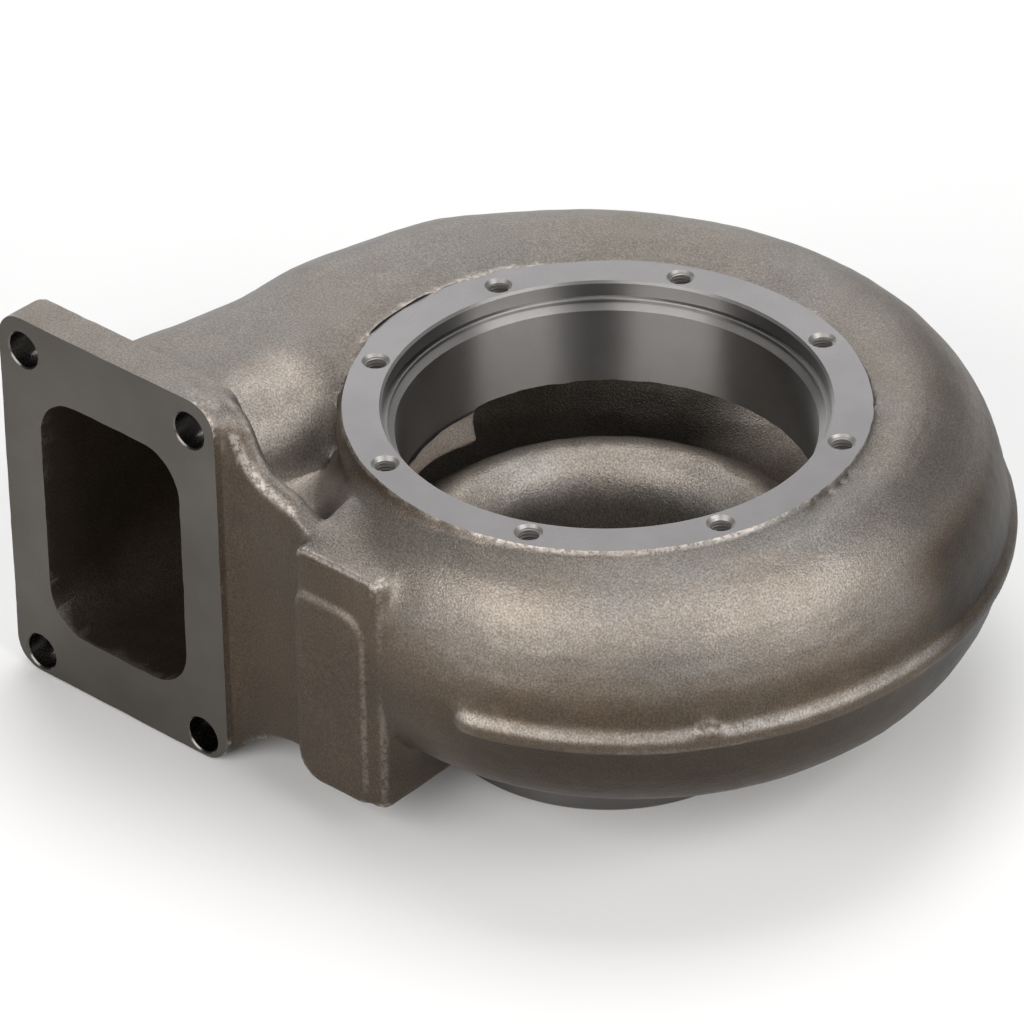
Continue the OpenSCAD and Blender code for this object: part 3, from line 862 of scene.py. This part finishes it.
def blendColour(nodes, links, factor, a, b, how="MIX"):
    made = nodes.new("ShaderNodeMix")
    made.data_type, made.blend_type = "RGBA", how
    for socket, value in ((made.inputs[0], factor), (made.inputs[6], a), (made.inputs[7], b)):
        if isinstance(value, (int, float)):
            socket.default_value = value
        elif isinstance(value, tuple):
            socket.default_value = (*value, 1)
        else:
            links.new(value, socket)
    return made.outputs[2]


def bump(nodes, links, height, distance, strength):
    made = nodes.new("ShaderNodeBump")
    made.inputs["Distance"].default_value = distance * mm
    made.inputs["Strength"].default_value = strength
    links.new(height, made.inputs["Height"])
    return made.outputs["Normal"]


def objectPlace(nodes):
    return nodes.new("ShaderNodeTexCoord").outputs["Object"]


def attribute(nodes, name):
    made = nodes.new("ShaderNodeAttribute")
    made.attribute_name = name
    return made.outputs["Fac"]


castLook = {
    "metallic": 0.7, "base": (0.19, 0.17, 0.15), "cool": (0.18, 0.169, 0.158),
    "brown": (0.186, 0.161, 0.136), "wornAndHighlit": (0.42, 0.38, 0.345), "hollowShade": (0.07, 0.058, 0.05),
    "darkShadeTint": (1.15, 0.95, 0.74),        # warm tint of the darkest painted shade
    "pebble": 1500, "fine": 3400, "patch": 17, "cloud": 60, "rag": 620,      # noise scales
    "speckle": (0.66, 0.95, 1.34), "stain": (0.92, 1.06), "hollowShadeShare": 0.2,
    "rough": (0.4, 0.5), "wornRough": 0.34,
    "fineHeight": 0.3, "grainDepth": 0.24, "grainShare": 0.85,
}


def makeCastSkin():
    look = castLook
    nodes, links, surface = shader(bpy.data.materials["castSkin"], look["metallic"])
    place = objectPlace(nodes)
    pebble = noise(nodes, links, place, look["pebble"], 2.0, 0.5)
    fine = noise(nodes, links, place, look["fine"], 2.0, 0.6)
    patch = noise(nodes, links, place, look["patch"], 3.0, 0.55)
    cloud = noise(nodes, links, place, look["cloud"], 4.0, 0.6)
    warm = ramp(nodes, links, patch,
                [(0.34, look["brown"]), (0.5, look["base"]), (0.66, look["cool"])])
    speckle = ramp(nodes, links, pebble, list(zip((0.3, 0.5, 0.7), map(grey, look["speckle"]))))
    stain = ramp(nodes, links, cloud, list(zip((0.35, 0.65), map(grey, look["stain"]))))
    colour = blendColour(nodes, links, 1.0, warm, speckle, "MULTIPLY")
    colour = blendColour(nodes, links, 1.0, colour, stain, "MULTIPLY")
    # painted shade in hollows
    hollow = math(nodes, links, "MULTIPLY", attribute(nodes, "hollow"), look["hollowShadeShare"])
    colour = blendColour(nodes, links, hollow, colour, look["hollowShade"])
    rag = ramp(nodes, links, noise(nodes, links, place, look["rag"], 3.0, 0.7),
               [(0.4, grey(0.1)), (0.55, grey(1.0))])
    ragged = math(nodes, links, "MULTIPLY", attribute(nodes, "wearAndHighlight"), rag)
    # painted light and shade from the tone attribute, warmer where it is darkest
    tone = attribute(nodes, "tone")
    tint = ramp(nodes, links, tone, [(0.3, look["darkShadeTint"]), (1.0, grey(1.0))])
    colour = blendColour(nodes, links, 1.0, colour, tint, "MULTIPLY")
    colour = blendColour(nodes, links, 1.0, colour, tone, "MULTIPLY")
    # worn metal and painted highlight: lighter and smoother on edges and rubbed lines
    colour = blendColour(nodes, links, ragged, colour, look["wornAndHighlit"])
    links.new(colour, surface.inputs["Base Color"])
    rough = ramp(nodes, links, fine, list(zip((0.3, 0.7), map(grey, look["rough"]))))
    rough = blendColour(nodes, links, ragged, rough, grey(look["wornRough"]))
    links.new(rough, surface.inputs["Roughness"])
    height = math(nodes, links, "ADD", pebble,
                  math(nodes, links, "MULTIPLY", fine, look["fineHeight"]))
    links.new(bump(nodes, links, height, look["grainDepth"], look["grainShare"]),
              surface.inputs["Normal"])


def makeIron(name, look):           # a machined face: even metal with a fine grain
    nodes, links, surface = shader(bpy.data.materials[name], look["metallic"])
    place = objectPlace(nodes)
    grain = noise(nodes, links, place, look["grain"], 2.0, 0.6)
    cloud = noise(nodes, links, place, look.get("cloud", 55), 3.0, 0.55)
    uneven, base, rough = look.get("uneven", 0.06), look["base"], look["rough"]
    tone = ramp(nodes, links, cloud, [(0.3, tuple(c * (1 - uneven) for c in base)),
                                      (0.7, tuple(c * (1 + uneven) for c in base))])
    links.new(tone, surface.inputs["Base Color"])
    rough = ramp(nodes, links, grain, [(0.3, grey(rough * 0.85)), (0.7, grey(rough * 1.15))])
    links.new(rough, surface.inputs["Roughness"])
    if look.get("anisotropic"):     # turned faces stretch their reflections across the tool's marks
        surface.inputs["Anisotropic"].default_value = look["anisotropic"]
        surface.inputs["Anisotropic Rotation"].default_value = look["turn"]
        tangent = nodes.new("ShaderNodeTangent")
        tangent.direction_type, tangent.axis = "RADIAL", "Z"
        links.new(tangent.outputs["Tangent"], surface.inputs["Tangent"])
    links.new(bump(nodes, links, grain, 0.02, 0.4), surface.inputs["Normal"])


ironLooks = {
    "facedIron": {"base": (0.195, 0.188, 0.188), "rough": 0.32, "metallic": 1.0, "grain": 1900,
                  "anisotropic": 0.5, "turn": 0.25},
    "boredIron": {"base": (0.275, 0.266, 0.26), "rough": 0.43, "metallic": 1.0, "grain": 2200,
                  "anisotropic": 0.97, "turn": 0.25},
    # darker base: painted shade on the milled flange face
    "milledIron": {"base": (0.098, 0.09, 0.08), "rough": 0.48, "metallic": 0.9, "grain": 1500,
                   "cloud": 18, "uneven": 0.2},
    # lighter base: painted light inside the tapped holes
    "drilledIron": {"base": (0.42, 0.405, 0.39), "rough": 0.45, "metallic": 0.9, "grain": 2000},
    # darker base: painted shade inside the flange's bolt holes
    "boltIron": {"base": (0.13, 0.122, 0.115), "rough": 0.27, "metallic": 1.0, "grain": 2000},
    "outletIron": {"base": (0.17, 0.163, 0.158), "rough": 0.24, "metallic": 1.0, "grain": 2000,
                   "anisotropic": 0.7, "turn": 0.25},
}
makeCastSkin()
for name, look in ironLooks.items():
    makeIron(name, look)


# Floor, light and camera

studio = {      # lengths in metres
    "floorReach": 6.0, "floorSeen": 0.9, "floorBounce": 0.3, "floorRough": 0.8,
    "world": (0.62, 0.63, 0.65), "worldStrength": 0.2, "middle": (-0.02, 0.01, -0.06), "away": 1.4,
    "lamps": {      # azimuth, elevation, size, power, tint
        "right": (0, 30, (1.1, 1.2), 15, (1, 0.985, 0.97)),
        "front": (-85, 27, (1.2, 0.9), 15, (1, 0.98, 0.96)),
        "top": (125, 74, (0.9, 0.8), 8.5, (1, 1, 1)),
        "back": (138, 24, (1.4, 0.9), 8, (1, 1, 1)),
    },
}


def paleFloor():    # pale to the camera and in reflections, with less bounce light on the object
    material = bpy.data.materials.new("floorPaint")
    nodes, links, surface = shader(material)
    rays = nodes.new("ShaderNodeLightPath").outputs
    seen = math(nodes, links, "MAXIMUM", rays["Is Camera Ray"], rays["Is Glossy Ray"])
    seen = math(nodes, links, "MAXIMUM", seen, rays["Is Transmission Ray"])
    paint = blendColour(nodes, links, seen, grey(studio["floorBounce"]), grey(studio["floorSeen"]))
    links.new(paint, surface.inputs["Base Color"])
    surface.inputs["Roughness"].default_value = studio["floorRough"]
    return material


mesh = bpy.data.meshes.new("floor")
reach, foot = studio["floorReach"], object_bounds()[0][2]
mesh.from_pydata([(-reach, -reach, foot), (reach, -reach, foot), (reach, reach, foot),
                  (-reach, reach, foot)], [], [(0, 1, 2, 3)])
mesh.materials.append(paleFloor())
floor = bpy.data.objects.new("floor", mesh)
bpy.context.scene.collection.objects.link(floor)

world = bpy.data.worlds.new("studio")
bpy.context.scene.world = world
world.use_nodes = True
background = world.node_tree.nodes["Background"]
background.inputs["Color"].default_value = (*studio["world"], 1)
background.inputs["Strength"].default_value = studio["worldStrength"]


def softBox(name, azimuth, elevation, size, power, tint):       # a flat lamp that faces the object
    a, e, middle = radians(azimuth), radians(elevation), Vector(studio["middle"])
    place = middle + studio["away"] * Vector((cos(a) * cos(e), sin(a) * cos(e), sin(e)))
    light = bpy.data.lights.new(name, "AREA")
    light.shape, light.size, light.size_y = "RECTANGLE", size[0], size[1]
    light.energy, light.color = power, tint
    made = bpy.data.objects.new(name, light)
    bpy.context.scene.collection.objects.link(made)
    made.location = place
    made.rotation_euler = (middle - place).to_track_quat("-Z", "Y").to_euler()


for name, lamp in studio["lamps"].items():
    softBox(name, *lamp)

view = {        # the photo's camera, solved from the twelve holes; the shift is in mm
    "azimuth": 41.729, "elevation": 33.956, "roll": -0.9097, "shift": (30.875, 36.250, 2247.468),
    "focal": 6888.05, "picture": 1024, "sensor": 36, "clip": (0.05, 20),
}
az, el, roll = (radians(view[key]) for key in ("azimuth", "elevation", "roll"))
back = Vector((sin(az) * cos(el), -cos(az) * cos(el), sin(el)))
right = (-back).cross(Vector((0, 0, 1))).normalized()
up = right.cross(-back)
axisX = cos(roll) * right + sin(roll) * up
axisY = -sin(roll) * right + cos(roll) * up
turnOut = Matrix((axisX, axisY, back)).transposed()     # camera frame to part frame
offset = Vector((view["shift"][0], view["shift"][1], -view["shift"][2])) * mm
camera = bpy.data.cameras.new("camera")
camera.sensor_width = view["sensor"]
camera.lens = view["focal"] / view["picture"] * camera.sensor_width
camera.clip_start, camera.clip_end = view["clip"]
cameraObject = bpy.data.objects.new("camera", camera)
bpy.context.scene.collection.objects.link(cameraObject)
cameraObject.matrix_world = Matrix.Translation(-(turnOut @ offset)) @ turnOut.to_4x4()
bpy.context.scene.camera = cameraObject
bpy.context.scene.view_settings.view_transform = "Standard"
